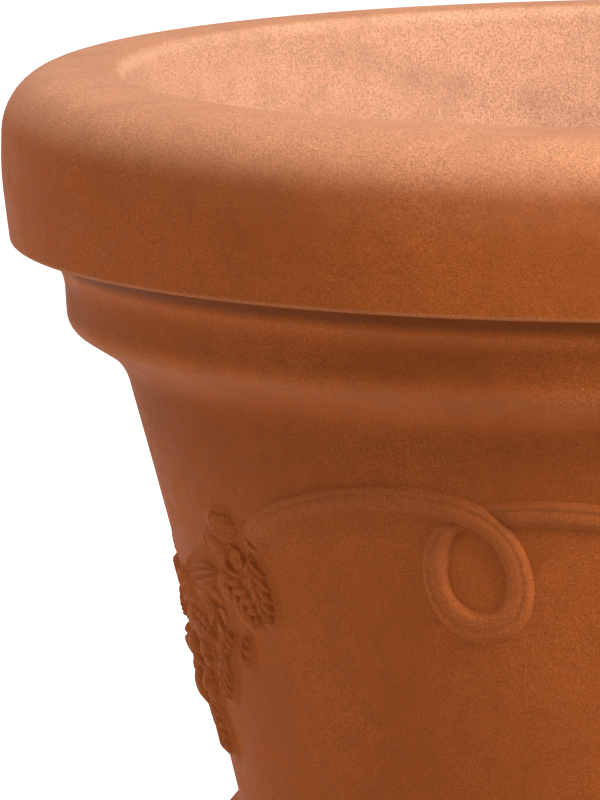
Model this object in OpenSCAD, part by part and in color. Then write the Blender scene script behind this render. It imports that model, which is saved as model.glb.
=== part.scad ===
// Round floor planter with a rolled rim and festoon relief, moulded in one skin, with push-in drain plugs.
// Millimetres, +Z up, origin at the middle of the foot where it stands.
// The front (-Y) is at one ribbon's loop.

/* [Pot] */
// Outer diameter of the rolled rim, the widest part
rim_d = 600; // [580:5:680]
// Overall height
pot_h = 430; // [410:5:480]
// Thickness of the moulded skin
wall = 5; // [4:0.5:6]

/* [Rim] */
// Height of the rolled rim's outer face
rim_h = 76; // [66:1:84]
// Clear opening between the inner skirt's faces
mouth_d = 488; // [474:2:494]
// Depth of the skirt that the rim turns down inside
skirt_h = 86; // [40:2:100]
// Depth at which the rim is widest
rim_widest_down = 42; // [36:1:48]
// How much narrower than the widest circle the rim's lower edge is, on the radius
rim_draw_in = 3.5; // [1:0.5:8]
// Rounding of the rim's outer shoulder
shoulder_round = 27; // [18:1:34]
// Rounding of the inner lip
lip_round = 6.5; // [5.5:0.5:9]
// Rounding of the rim's lower edge
edge_round = 2; // [1:0.5:4]

/* [Neck] */
// Diameter at the foot of the neck
neck_d = 543; // [525:1:550]
// Depth of the neck's lower edge below the rim top
neck_down = 113; // [108:1:118]
// Rounding of the cove between rim and neck
neck_cove = 22; // [14:1:24]
// Rounding of the neck's lower edge
neck_round = 10; // [7:1:12]

/* [Body] */
// Diameter at the top of the body
body_top_d = 494; // [484:1:506]
// Depth of the body's top, in the bottom of the ogee
body_top_down = 128.5; // [125:0.5:134]
// Rounding of the ogee where it meets the body
ogee_cove = 27; // [18:1:32]
// Diameter halfway down the body
body_mid_d = 438; // [432:1:446]
// Depth of that halfway point
body_mid_down = 233; // [215:1:250]
// Diameter where the body meets the base ring
waist_d = 393.5; // [386:0.5:404]
// Depth of the base ring's top
waist_down = 328.5; // [322:0.5:334]

/* [Base] */
// Height of the round ring at the base
ring_h = 42; // [36:1:46]
// How far the ring stands out from the body
ring_out = 11; // [8:0.5:14]
// Diameter of the foot
foot_d = 408; // [396:2:420]
// Width of the rim that the pot stands on
foot_w = 27; // [20:1:34]
// How far the floor is raised off the ground
floor_lift = 10; // [8:1:14]

/* [Ornament] */
// Number of repeats round the pot
repeats = 3; // [3:1:3]
// Width of the ribbon
ribbon_w = 11.5; // [9:0.5:13]
// Width of the ribbon's ends at the ties
ribbon_end_w = 15; // [12:0.5:16]
// How far the ribbon stands out from the wall
ribbon_h = 3.2; // [2.2:0.2:4]
// Depth of the groove along the ribbon
ribbon_groove = 1.2; // [0.6:0.1:1.6]
// Width of the ribbon's loop, to its centre line
loop_w = 39; // [34:1:42]
// Height of the ribbon's loop, to its centre line
loop_h = 49; // [46:1:54]
// How far the thickest fruit stands out from the wall
garland_h = 7.5; // [5:0.5:8.5]
// Thickness of the garland at its outline
garland_edge = 0.9; // [0.6:0.1:1.4]
// Thickness of the cords of a tie
cord_d = 2.6; // [2.4:0.2:3.2]

/* [Drain plugs] */
// Number of drain holes
plug_count = 4; // [3:1:4]
// Diameter of a drain hole
drain_d = 18; // [12:1:22]
// Radius of the circle that the drain holes lie on
drain_circle_r = 110; // [80:5:140]
// Diameter of a plug's flange
plug_flange_d = 30; // [26:1:36]
// Thickness of a plug's flange at its edge
plug_flange_t = 2.5; // [2:0.5:4]
// Diameter of a plug's knob
knob_d = 12; // [10:1:14]
// Height of a plug's knob above the flange
knob_h = 9; // [7:1:12]
// Radial clearance of a plug in its hole
plug_clearance = 0.05; // [0.02:0.01:0.1]

/* [Hidden] */
$fn = 96;

clay_colour = [0.66, 0.36, 0.20];
relief_colour = [0.70, 0.40, 0.24];
plug_colour = [0.25, 0.16, 0.12];

rim_r = rim_d / 2;
mouth_r = mouth_d / 2;
neck_r = neck_d / 2;
body_top_r = body_top_d / 2;
body_mid_r = body_mid_d / 2;
waist_r = waist_d / 2;
foot_r = foot_d / 2;
// The rim's crown is flat over crown_w and falls to the lip and to the shoulder
crown_w = 8;
crown_gap = 2;
crown_round = 40;
lip_drop = 1.2;
shoulder_drop = 2.8;
crown_r = mouth_r + lip_round + crown_gap;
// The rim's outer face is upright over rim_upright where it is widest, and leans in above and below
rim_upright = 10;
face_lean = 0.9;
face_round = 120;
neck_lean = 2;
// The body bellies out a little between the neck and the waist
body_round = 3500;
// The base ring bulges between two slanted faces
ring_slope = 12;
ring_round = 24;
base_cove = 3;
// The foot spreads below the ring over this share of its height
foot_share = 0.3;
foot_down = foot_share * (pot_h - waist_down - ring_h);
foot_round = 5;
// The face from the foot up to the raised floor leans in
recess_lean = 3;
recess_round = 4;
// Arcs: one point for about this many degrees
arc_step = 6;
// Roundings under this radius stay sharp, and roundings take up no more than this share of an edge
least_round = 0.6;
edge_share = 0.98;

// The skin's outer face from the skirt's free edge over the rim and down to the floor:
// [radius, depth below the rim top, rounding of the corner]
corners = [
    [mouth_r, skirt_h, 0],
    [mouth_r, lip_drop, lip_round],
    [crown_r, 0, crown_round],
    [crown_r + crown_w, 0, crown_round],
    [rim_r - face_lean, shoulder_drop, shoulder_round],
    [rim_r, rim_widest_down - rim_upright / 2, face_round],
    [rim_r, rim_widest_down + rim_upright / 2, face_round],
    [rim_r - rim_draw_in, rim_h, edge_round],
    [neck_r + neck_lean, rim_h, neck_cove],
    [neck_r, neck_down, neck_round],
    [body_top_r, body_top_down, ogee_cove],
    [body_mid_r, body_mid_down, body_round],
    [waist_r, waist_down, base_cove],
    [waist_r + ring_out, waist_down + ring_slope, ring_round],
    [waist_r + ring_out, waist_down + ring_h - ring_slope, ring_round],
    [waist_r, waist_down + ring_h, base_cove],
    [foot_r, waist_down + ring_h + foot_down, foot_round],
    [foot_r, pot_h, foot_round],
    [foot_r - foot_w, pot_h, foot_round],
    [foot_r - foot_w - recess_lean, pot_h - floor_lift, recess_round],
    [0, pot_h - floor_lift, 0]
];

// Unit normal to the right of the way from a to b, which points into the skin
function side(a, b) = let (v = b - a) [v.y, -v.x] / norm(v);
function cross2(v, w) = v.x * w.y - v.y * w.x;
function to_rz(c) = [c.x, pot_h - c.y];

// Corner i moved into the skin by t, so that both its edges move by t
function inset_corner(list, i, t) = let (
    c = to_rz(list[i]),
    n1 = i == 0 ? side(c, to_rz(list[1])) : side(to_rz(list[i - 1]), c),
    n2 = i == len(list) - 1 ? n1 : side(c, to_rz(list[i + 1]))
) c + t * (n1 + n2) / (1 + n1 * n2);

// How far a rounding of radius r at corner c reaches along its edges to a and b
function reach(a, c, b, r) = let (
    straight = (a - c) * (c - b) / norm(a - c) / norm(b - c)
) r * tan(acos(max(-1, min(1, straight))) / 2);

// Points of the arc that rounds corner c between a and b with radius r
function corner_arc(a, c, b, r) = let (
    u = (a - c) / norm(a - c),
    v = (b - c) / norm(b - c),
    d = reach(a, c, b, r),
    centre = c + (u + v) / norm(u + v) * norm([r, d]),
    a0 = atan2(c.y + u.y * d - centre.y, c.x + u.x * d - centre.x),
    a1 = atan2(c.y + v.y * d - centre.y, c.x + v.x * d - centre.x),
    turn = ((a1 - a0 + 540) % 360) - 180,
    n = max(2, ceil(abs(turn) / arc_step))
) [for (k = [0:n]) centre + r * [cos(a0 + turn * k / n), sin(a0 + turn * k / n)]];

// The skin's face at depth t inside the outer one. Rounded corners keep their centres,
// and roundings that would meet on a short edge share it.
function skin_face(list, t) = let (
    last = len(list) - 1,
    p = [for (i = [0:last]) inset_corner(list, i, t)],
    r = [for (i = [0:last]) i == 0 || i == last ? 0 :
        max(0, list[i][2] + t * sign(cross2(p[i] - p[i - 1], p[i + 1] - p[i])))],
    d = [for (i = [0:last]) i == 0 || i == last ? 0 : reach(p[i - 1], p[i], p[i + 1], r[i])],
    share = [for (i = [0:last]) i == 0 || i == last ? 1 : min(
        1,
        edge_share * norm(p[i] - p[i - 1]) / max(d[i] + d[i - 1], 0.01),
        edge_share * norm(p[i] - p[i + 1]) / max(d[i] + d[i + 1], 0.01)
    )]
) [for (i = [0:last]) each (
    r[i] < least_round ? [p[i]] : corner_arc(p[i - 1], p[i], p[i + 1], r[i] * share[i])
)];

outer_face = skin_face(corners, 0);
inner_face = skin_face(corners, wall);

// Radius at a depth below the rim top, from the neck down to the foot's lower edge,
// of the skin's outer and inner face
function below_neck(face) = [
    for (p = face) if (pot_h - p.y > neck_down && p.y > foot_round) [pot_h - p.y, p.x]
];
outer_below_neck = below_neck(outer_face);
inner_below_neck = below_neck(inner_face);
function wall_r(depth) = lookup(depth, outer_below_neck);
function inner_r(depth) = lookup(depth, inner_below_neck);

// The one moulding is drawn as three rings that meet face to face on two level seams
seam_under_ogee = 9;
seam_over_ring = 5;
rim_seam = body_top_down + seam_under_ogee;
base_seam = waist_down - seam_over_ring;

// Section of the skin between two depths. A depth that is no seam lies beyond the skin's end.
function at_seam(r, depth) = depth == rim_seam || depth == base_seam ? [[r, pot_h - depth]] : [];
function between(face, top, bottom) = [for (p = face) if (pot_h - p.y > top && pot_h - p.y < bottom) p];
function skin_band(top, bottom) = let (inner = between(inner_face, top, bottom)) concat(
    at_seam(wall_r(top), top),
    between(outer_face, top, bottom),
    at_seam(wall_r(bottom), bottom),
    at_seam(inner_r(bottom), bottom),
    [for (i = [len(inner) - 1:-1:0]) inner[i]],
    at_seam(inner_r(top), top)
);

module pot_rim() {
    color(clay_colour)
    rotate_extrude() polygon(skin_band(-1, rim_seam));
}

module pot_wall() {
    color(clay_colour)
    rotate_extrude() polygon(skin_band(rim_seam, base_seam));
}

module pot_base() {
    color(clay_colour)
    difference() {
        rotate_extrude() polygon(skin_band(base_seam, pot_h + 1));
        for (k = [0:plug_count - 1])
            rotate([0, 0, plug_angle(k)])
                translate([drain_circle_r, 0, 0])
                    cylinder(d = drain_d, h = 2 * (floor_lift + wall));
    }
}

function plug_angle(k) = 45 + 360 * k / plug_count;
// A plug's stem ends in a lead-in cone below the floor, and its knob has a neck to pull at
stem_below = 4.5;
lead_h = 3;
lead_in = 2;
flange_chamfer = 1;
flange_crown = 0.8;
knob_neck_d = 8;
knob_neck_round = 1;
knob_chamfer = 1;
knob_under_h = 3;

module drain_plug(k) {
    seat = floor_lift + wall;
    low = floor_lift - stem_below;
    flange_top = seat + plug_flange_t;
    top = flange_top + knob_h;
    r = drain_d / 2 - plug_clearance;
    color(plug_colour)
    rotate([0, 0, plug_angle(k)])
        translate([drain_circle_r, 0, 0])
            rotate_extrude()
                polygon([
                    [0, low],
                    [r - lead_in, low],
                    [r, low + lead_h],
                    [r, seat],
                    [plug_flange_d / 2, seat],
                    [plug_flange_d / 2, flange_top - flange_chamfer],
                    [plug_flange_d / 2 - flange_chamfer, flange_top],
                    [knob_neck_d / 2 + knob_neck_round, flange_top + flange_crown],
                    [knob_neck_d / 2, flange_top + flange_crown + knob_neck_round],
                    [knob_neck_d / 2, top - 2 * knob_under_h],
                    [knob_d / 2, top - knob_under_h],
                    [knob_d / 2, top - knob_chamfer],
                    [knob_d / 2 - knob_chamfer, top],
                    [0, top]
                ]);
}

// Relief is drawn flat, as [distance to the right along the wall, depth below the rim top],
// and laid on the wall at a height above it. relief_r is the radius at which that distance is true.
relief_r = 230;
seat_gap = 0.1;
function on_wall(p, h) = let (
    r = wall_r(p.y) + h,
    a = p.x / relief_r * 180 / PI
) [r * sin(a), -r * cos(a), pot_h - p.y];

function unit(v) = v / norm(v);
function across(v) = [-v.y, v.x];

function bezier(p, t) = let (s = 1 - t)
    s * s * s * p[0] + 3 * s * s * t * p[1] + 3 * s * t * t * p[2] + t * t * t * p[3];
function bezier_path(p, n) = [for (i = [0:n]) bezier(p, i / n)];

// Direction of a path at point i
function way(path, i) = unit(path[min(i + 1, len(path) - 1)] - path[max(i - 1, 0)]);

// Rings of a strip along a path: the section is [across from -1 to 1, height], the back follows the wall.
// The ends are cut along the given directions.
function strip_points(path, widths, section, first_cut, last_cut) = [
    for (i = [0:len(path) - 1]) let (
        n = across(way(path, i)),
        cut = i == 0 ? first_cut : i == len(path) - 1 ? last_cut : n,
        c = cut / (cut * n) * widths[i] / 2
    ) each concat(
        [for (s = section) on_wall(path[i] + c * s.x, s.y)],
        [for (s = [1, 0, -1]) on_wall(path[i] + c * s, seat_gap)]
    )
];

function strip_faces(rings, n) = concat(
    [for (i = [0:rings - 2]) for (j = [0:n - 1]) let (
        a = i * n + j,
        b = i * n + (j + 1) % n
    ) each [[a, b + n, b], [a, a + n, b + n]]],
    [for (j = [0:n - 4]) [n - 2, j, j + 1]],
    [[n - 2, n - 1, 0]],
    [for (j = [0:n - 4]) let (e = (rings - 1) * n) [e + n - 2, e + j + 1, e + j]],
    [let (e = (rings - 1) * n) [e + n - 2, e, e + n - 1]]
);

module strip(path, widths, section, first_cut, last_cut) {
    polyhedron(
        strip_points(path, widths, section, first_cut, last_cut),
        strip_faces(len(path), len(section) + 3)
    );
}

// A ribbon is a soft band. A narrow ridge runs along the outer side of its bends and a broad one
// along the inner side, with a groove between them.
ribbon_edge = 0.6;
outer_ridge = 0.78 * ribbon_h;
outer_shoulder = 0.6 * ribbon_h;
inner_shoulder = 0.78 * ribbon_h;
ribbon_section = [
    [-1, ribbon_edge], [-0.75, outer_shoulder], [-0.5, outer_ridge],
    [-0.24, ribbon_h - ribbon_groove],
    [0.1, ribbon_h], [0.7, inner_shoulder], [1, ribbon_edge]
];

// Angle between a loop and the tie at either side, and the tie's depth and slope
tie_turn = 30.3;
tie_u = tie_turn * PI / 180 * relief_r;
tie_down = 189.5;
tie_slope = 34;
tie_way = [cos(tie_slope), sin(tie_slope)];
ribbon_clear = 0.3;

// The loop's centre line is an oval, broader in its lower half by loop_egg, and the ribbon is wider there.
// It is drawn clockwise from where the arch runs into it.
loop_down = 193.8;
loop_egg = 0.12;
loop_wide = 2.5;
loop_start = 30;
loop_stop = 333;
function loop_point(a) = [loop_w / 2 * sin(a) * (1 - loop_egg * cos(a)), loop_down - loop_h / 2 * cos(a)];
function loop_way(a) = unit([loop_w / 2 * (cos(a) - loop_egg * cos(2 * a)), loop_h / 2 * sin(a)]);

// The ribbon comes from the left tie in a high arch, runs round the loop, passes under itself
// and leaves for the right tie in a flatter arch
beside_cord = across(tie_way) * (cord_d / 2 + ribbon_clear);
tie_left = [-tie_u, tie_down] - beside_cord;
tie_right = [-tie_left.x, tie_left.y];
// How far each arch heads off from its two ends, as [to the right, down], before it bends away
in_from_tie = [38, -26];
in_to_loop = 29 * loop_way(loop_start);
out_from_loop = [21.5, -10];
out_to_tie = [42, 27];
arch_in = [
    tie_left,
    tie_left + in_from_tie,
    loop_point(loop_start) - in_to_loop,
    loop_point(loop_start)
];
arch_out = [
    loop_point(-loop_start),
    loop_point(-loop_start) + out_from_loop,
    tie_right - out_to_tie,
    tie_right
];
arch_in_steps = 18;
arch_out_steps = 24;
loop_steps = 24;
out_path = bezier_path(arch_out, arch_out_steps);
// The arch away starts clear of the strand that crosses over it
out_start = 6;
loop_end_cut = unit([0.93, 0.4]);
out_start_cut = unit([0.76, 0.65]);
// The ribbon widens to its ties over this share of an arch, and narrows where it passes under itself
end_share = 0.4;
under_share = 0.3;
under_w = 0.6 * ribbon_w;

function taper(t, from, to) = from + (to - from) * max(0, min(1, t));

module ribbon(k) {
    turns = [for (i = [1:loop_steps]) loop_start + (loop_stop - loop_start) * i / loop_steps];
    over = concat(bezier_path(arch_in, arch_in_steps), [for (a = turns) loop_point(a)]);
    over_w = concat(
        [for (i = [0:arch_in_steps]) taper(i / (end_share * arch_in_steps), ribbon_end_w, ribbon_w)],
        [for (a = turns) ribbon_w + loop_wide * max(0, -cos(a))]
    );
    under = [for (i = [out_start:len(out_path) - 1]) out_path[i]];
    n = len(under) - 1;
    out_w = [for (i = [0:n]) taper(i / (under_share * n), under_w, ribbon_w)
        + taper(1 - (n - i) / (end_share * n), 0, ribbon_end_w - ribbon_w)];
    color(relief_colour)
    rotate([0, 0, 360 / repeats * k]) {
        strip(over, over_w, ribbon_section, tie_way, loop_end_cut);
        strip(under, out_w, ribbon_section, out_start_cut, [tie_way.x, -tie_way.y]);
        for (side = [-1, 1])
            for (i = [0, 1])
                tie_cord(side, i);
    }
}

// A tie is two turns of cord, side by side, across the garland's end
cord_half = 8.8;
cord_steps = 4;
second_cord = 0.8;
cord_gap = 1;
cord_edge = 0.5;
cord_shoulder = 0.85 * cord_d;
cord_section = [
    [-1, cord_edge], [-0.7, cord_shoulder], [0, cord_d], [0.7, cord_shoulder], [1, cord_edge]
];
module tie_cord(side, i) {
    away = across(tie_way) * (cord_d + cord_gap) * i;
    path = [for (j = [0:cord_steps]) let (
        l = cord_half * (i == 0 ? 1 : second_cord),
        p = [-tie_u, tie_down] + away + tie_way * l * (2 * j / cord_steps - 1)
    ) side < 0 ? p : [-p.x, p.y]];
    cut = side < 0 ? across(tie_way) : [-across(tie_way).x, across(tie_way).y];
    strip(path, [for (p = path) cord_d], cord_section, cut, cut);
}

// Outline of the garland's right half, as [distance from its middle, depth]. It hangs from two ties.
garland_top = [
    [0, 226], [7, 221.5], [16, 218.5], [26, 219.5], [34, 215.5], [42, 209.5], [52, 205.5], [64, 203.5],
    [69, 199], [75, 193.5], [81, 188], [86, 182.5], [95, 180.7], [102, 181.7], [106.5, 184],
    [109, 188.5], [112, 192], [118, 196.4], [121.5, 200], [125, 206]
];
garland_bottom = [
    [0, 305], [7, 303.5], [13, 300], [20, 300], [28, 301.5], [34, 301], [38, 296.5], [40.5, 286],
    [43, 276], [48, 271.5], [56, 272], [63, 269.5], [68, 263], [72, 255], [79, 252.5], [86, 254.5],
    [91, 251.5], [95, 244], [99, 236], [105, 233], [111, 231.5], [117, 231], [121, 228], [125, 221]
];
garland_reach = 125;
garland_columns = 64;
garland_rows = 17;
garland_back_rows = 3;

// The garland's pieces in its right half:
// [kind, distance, depth, half length, half width, turn, share of garland_h]
pieces = [
    ["fruit", 95, 187.5, 14, 6.8, 0, 0.5],
    ["fruit", 83, 199, 13, 5.6, 8, 0.4],
    ["fruit", 99.5, 203, 10.5, 8.5, 0, 0.5],
    ["leaf", 115, 214, 17, 9.5, 82, 0.58],
    ["fruit", 98, 222, 12, 11, -25, 0.5],
    ["fruit", 84, 217, 9.5, 8.5, 0, 0.48],
    ["leaf", 57, 214.5, 24, 10.5, -9, 0.42],
    ["flower", 62, 230, 17, 12.5, -10, 0.62],
    ["leaf", 70, 244.5, 12, 6, -33, 0.5],
    ["leaf", 88, 246, 10, 7, -55, 0.42],
    ["leaf", 43, 240, 14, 8, 15, 0.56],
    ["fruit", 55.5, 262, 12.5, 9, 4, 0.6],
    ["leaf", 13, 227, 16, 8, -12, 0.45],
    ["fruit", 25, 240, 13, 9, -15, 0.7],
    ["fruit", 12, 256, 12, 9.5, 15, 0.94],
    ["fruit", 33, 255, 9.5, 8, 0, 0.7],
    ["fruit", 27, 270, 12, 8.5, -25, 0.9],
    ["leaf", 25, 288, 16, 9.5, 52, 0.6],
    ["flower", 0, 240, 13, 12, 90, 0.75],
    ["fruit", 0, 274, 11, 9.5, 90, 1],
    ["leaf", 0, 292, 15, 9, 90, 0.5]
];
both_halves = concat(
    pieces,
    [for (e = pieces) if (e[1] > 0) [e[0], -e[1], e[2], e[3], e[4], -e[5], e[6]]]
);

// Height of one piece over a place: a fruit is a dome, a leaf has a ridge and two points,
// a flower has petals round its eye
fruit_round = 0.6;
leaf_fold = 0.55;
leaf_point = 0.3;
flower_round = 0.5;
petals = 5;
petal_mean = 0.84;
petal_wave = 0.16;
eye_share = 0.1;
eye_rise = 1.15;
thin = 0.001;
function piece_h(e, p) = let (
    d = [p.x - e[1], p.y - e[2]],
    x = (d.x * cos(e[5]) + d.y * sin(e[5])) / e[3],
    y = (d.y * cos(e[5]) - d.x * sin(e[5])) / e[4],
    q = x * x + y * y,
    w = max(thin, 1 - x * x)
) garland_h * e[6] * (
    q >= 1 ? 0 :
    e[0] == "fruit" ? pow(1 - q, fruit_round) :
    e[0] == "leaf" ? (abs(y) < w ? pow(1 - abs(y) / w, leaf_fold) * pow(w, leaf_point) : 0) :
    pow(1 - q, flower_round) * (petal_mean - petal_wave * cos(petals * atan2(y, x)))
        * (q > eye_share ? 1 : eye_rise)
);

// Between its pieces the garland is a soft pad that rises from its outline
pad_h = 0.32 * garland_h;
pad_rise = 6.4;
function garland_relief(p, s) = let (
    core = garland_edge + (pad_h - garland_edge) * min(1, pad_rise * s * (1 - s)),
    top = max([for (e = both_halves) piece_h(e, p)])
) s <= 0 || s >= 1 ? garland_edge : max(core, top);

function garland_place(i, s) = let (
    x = garland_reach * (2 * i / garland_columns - 1),
    a = lookup(abs(x), garland_top),
    b = lookup(abs(x), garland_bottom)
) [x, a + (b - a) * s];

module garland(k) {
    fr = garland_rows + 1;
    br = garland_back_rows + 1;
    // Ends of the garland are cut at the ends of its outline
    front = [for (i = [0:garland_columns]) for (j = [0:garland_rows]) let (
        s = j / garland_rows,
        p = garland_place(i, s)
    ) on_wall(p, i == 0 || i == garland_columns ? garland_edge : garland_relief(p, s))];
    back = [for (i = [0:garland_columns]) for (j = [0:garland_back_rows])
        on_wall(garland_place(i, j / garland_back_rows), seat_gap)];
    n = len(front);
    faces = concat(
        [for (i = [0:garland_columns - 1]) for (j = [0:garland_rows - 1]) let (
            a = i * fr + j,
            b = a + fr
        ) each [[a, b + 1, a + 1], [a, b, b + 1]]],
        [for (i = [0:garland_columns - 1]) for (j = [0:garland_back_rows - 1]) let (
            a = n + i * br + j,
            b = a + br
        ) each [[a, b + 1, b], [a, a + 1, b + 1]]],
        [for (i = [0:garland_columns - 1]) let (a = i * fr, b = a + fr, c = n + i * br, d = c + br)
            each [[a, d, b], [a, c, d]]],
        [for (i = [0:garland_columns - 1]) let (
            a = i * fr + garland_rows, b = a + fr, c = n + i * br + garland_back_rows, d = c + br
        ) each [[a, b, d], [a, d, c]]],
        [concat([for (j = [0:garland_rows]) j], [for (j = [garland_back_rows:-1:0]) n + j])],
        [let (e = garland_columns * fr, g = n + garland_columns * br)
            concat([for (j = [garland_rows:-1:0]) e + j], [for (j = [0:garland_back_rows]) g + j])]
    );
    color(relief_colour)
    rotate([0, 0, 360 / repeats * (k - 0.5)])
        polyhedron(concat(front, back), faces);
}

pot_rim();
pot_wall();
pot_base();
ribbon(0);  // ribbon_1
ribbon(1);  // ribbon_2
ribbon(2);  // ribbon_3
garland(0);  // garland_1
garland(1);  // garland_2
garland(2);  // garland_3
drain_plug(0);  // drain_plug_1
drain_plug(1);  // drain_plug_2
drain_plug(2);  // drain_plug_3
drain_plug(3);  // drain_plug_4
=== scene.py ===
# %% [markdown]
# # A festooned terracotta-coloured floor pot
# This lesson dresses the construction model of a large moulded flower pot. The model gives the frame: its
# solids are in place and at their real size, and everything here is laid over them in the same metres.
# The frame comes first, and its box is kept so that the finished look can be held against it.

# %% Load the frame
import math

import bmesh
import bpy
import numpy as np
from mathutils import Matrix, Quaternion, Vector


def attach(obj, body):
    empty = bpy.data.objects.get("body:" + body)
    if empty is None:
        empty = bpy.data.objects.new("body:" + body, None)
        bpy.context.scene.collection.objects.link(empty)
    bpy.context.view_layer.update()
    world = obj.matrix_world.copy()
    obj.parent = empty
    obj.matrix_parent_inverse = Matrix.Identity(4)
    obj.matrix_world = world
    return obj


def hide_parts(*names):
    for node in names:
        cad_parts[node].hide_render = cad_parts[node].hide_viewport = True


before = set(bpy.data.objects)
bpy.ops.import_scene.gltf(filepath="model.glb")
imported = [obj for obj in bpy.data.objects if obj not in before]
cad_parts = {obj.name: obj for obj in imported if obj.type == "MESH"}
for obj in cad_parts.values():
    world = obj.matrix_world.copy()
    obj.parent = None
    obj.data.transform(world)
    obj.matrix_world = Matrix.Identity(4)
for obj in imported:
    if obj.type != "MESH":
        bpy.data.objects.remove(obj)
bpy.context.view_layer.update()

# %% [markdown]
# ## The pot's outline
# The pot is one skin of plastic, turned round an upright axis. Its outer face is a chain of corners, each with
# a rounding, from the free edge of the skirt inside the mouth, over the rolled rim, down the neck and the body
# to the ring and the foot, and in to the middle of the floor. All sizes are millimetres, and depths are
# counted from the rim's top, because the rim is what the eye measures the rest against.

# %% Sizes of the pot
MM = 0.001
rim_r = 300.0
pot_h = 430.0
wall = 5.0
mouth_r = 244.0
skirt_h = 86.0
rim_h = 76.0
neck_r = 271.5
neck_down = 113.0
body_top_r = 247.0
body_top_down = 128.5
body_mid_r = 219.0
body_mid_down = 233.0
waist_r = 196.75
waist_down = 328.5
ring_h = 42.0
ring_out = 11.0
foot_r = 204.0
foot_w = 27.0
foot_down = 0.3 * (pot_h - waist_down - ring_h)
floor_lift = 10.0
print("pot", 2 * rim_r, "across,", pot_h, "high, skin", wall)

# %% Corners of the outer face
lip_round = 6.5
crown_r = mouth_r + lip_round + 2
crown_w = 8.0
rim_upright = (37.0, 47.0)
rim_foot_r = rim_r - 3.5
ring_slope = 12.0

# Radius, depth, rounding
corners = [
    (mouth_r, skirt_h, 0),
    (mouth_r, 1.2, lip_round),
    (crown_r, 0, 40),
    (crown_r + crown_w, 0, 40),
    (rim_r - 0.9, 2.8, 27),
    (rim_r, rim_upright[0], 120),
    (rim_r, rim_upright[1], 120),
    (rim_foot_r, rim_h, 2),
    (neck_r + 2, rim_h, 22),
    (neck_r, neck_down, 10),
    (body_top_r, body_top_down, 27),
    (body_mid_r, body_mid_down, 3500),
    (waist_r, waist_down, 3),
    (waist_r + ring_out, waist_down + ring_slope, 24),
    (waist_r + ring_out, waist_down + ring_h - ring_slope, 24),
    (waist_r, waist_down + ring_h, 3),
    (foot_r, waist_down + ring_h + foot_down, 5),
    (foot_r, pot_h, 5),
    (foot_r - foot_w, pot_h, 5),
    (foot_r - foot_w - 3, pot_h - floor_lift, 4),
    (0, pot_h - floor_lift, 0),
]
print("corners in the outline", len(corners))

# %% [markdown]
# A rounded corner is an arc that touches both its edges. The inner face is the same chain moved into the skin
# by the wall's thickness, with each arc keeping its centre, so the wall is even everywhere, as a wall of
# moulded plastic is. Roundings that would meet on a short edge share it.

# %% Move the corners into the skin
def moved_in(chain, inset):
    """Corners [radius, height] at a depth inside the outer face, their roundings, and how far each reaches."""
    c = np.array([(r, pot_h - d) for r, d, _ in chain], float)
    way = np.diff(c, axis=0)
    way /= np.linalg.norm(way, axis=1)[:, None]
    side = np.column_stack([way[:, 1], -way[:, 0]])
    before = np.vstack([side[:1], side])
    after = np.vstack([side, side[-1:]])
    p = c + inset * (before + after) / (1 + (before * after).sum(1))[:, None]
    radius, reach = np.zeros(len(p)), np.zeros(len(p))
    for i in range(1, len(p) - 1):
        a, b = p[i] - p[i - 1], p[i + 1] - p[i]
        hollow = np.sign(a[0] * b[1] - a[1] * b[0])
        radius[i] = max(0.0, chain[i][2] + inset * hollow)
        turn = math.acos(min(1.0, a @ b / np.linalg.norm(a) / np.linalg.norm(b)))
        reach[i] = radius[i] * math.tan(turn / 2)
    return p, radius, reach


print("floor's upper face at", moved_in(corners, wall)[0][-1][1])

# %% Round the corners
arc_step = 8.0
longest_edge = 20.0
sharp_r = 0.3
edge_share = 0.98


def arc_at(p, i, r, reach):
    """Points of the arc in corner i that leaves both edges at a distance from the corner."""
    u = (p[i - 1] - p[i]) / np.linalg.norm(p[i - 1] - p[i])
    v = (p[i + 1] - p[i]) / np.linalg.norm(p[i + 1] - p[i])
    centre = p[i] + (u + v) / np.linalg.norm(u + v) * math.hypot(r, reach)
    a0 = math.atan2(*(p[i] + u * reach - centre)[::-1])
    a1 = math.atan2(*(p[i] + v * reach - centre)[::-1])
    turn = (a1 - a0 + math.pi) % (2 * math.pi) - math.pi
    steps = max(2, math.ceil(abs(math.degrees(turn)) / arc_step))
    angles = [a0 + turn * k / steps for k in range(steps + 1)]
    return [centre + r * np.array([math.cos(a), math.sin(a)]) for a in angles]


def face_of_skin(chain, inset):
    """Points [radius, height] of the skin's face at a depth inside the outer one, with no long edges."""
    p, radius, reach = moved_in(chain, inset)
    out = []
    for i in range(len(p)):
        share = 1.0
        for j in (i - 1, i + 1):
            if 0 < i < len(p) - 1 and reach[i] + reach[j] > 0:
                share = min(share, edge_share * np.linalg.norm(p[i] - p[j]) / (reach[i] + reach[j]))
        if radius[i] * share < sharp_r:
            out.append(p[i])
        else:
            out += arc_at(p, i, radius[i] * share, reach[i] * share)
    fine = [out[0]]
    for a, b in zip(out, out[1:]):
        cuts = max(1, math.ceil(np.linalg.norm(b - a) / longest_edge))
        fine += [a + (b - a) * k / cuts for k in range(1, cuts + 1)]
    return np.array(fine)


outer = face_of_skin(corners, 0)
inner = face_of_skin(corners, wall)
print("outline", len(outer), "+", len(inner), "points; widest", outer[:, 0].max(), "top", outer[:, 1].max())

# %% The body's outer face as radius over depth
on_body = (pot_h - outer[:, 1] > neck_down) & (outer[:, 1] > foot_down)
body_face = np.column_stack([pot_h - outer[on_body, 1], outer[on_body, 0]])


def wall_r(depth):
    """Radius of the outer face at a depth below the rim, for whatever is laid on it."""
    return np.interp(depth, body_face[:, 0], body_face[:, 1])


print("radius half way down the body", wall_r(body_mid_down))

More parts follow.
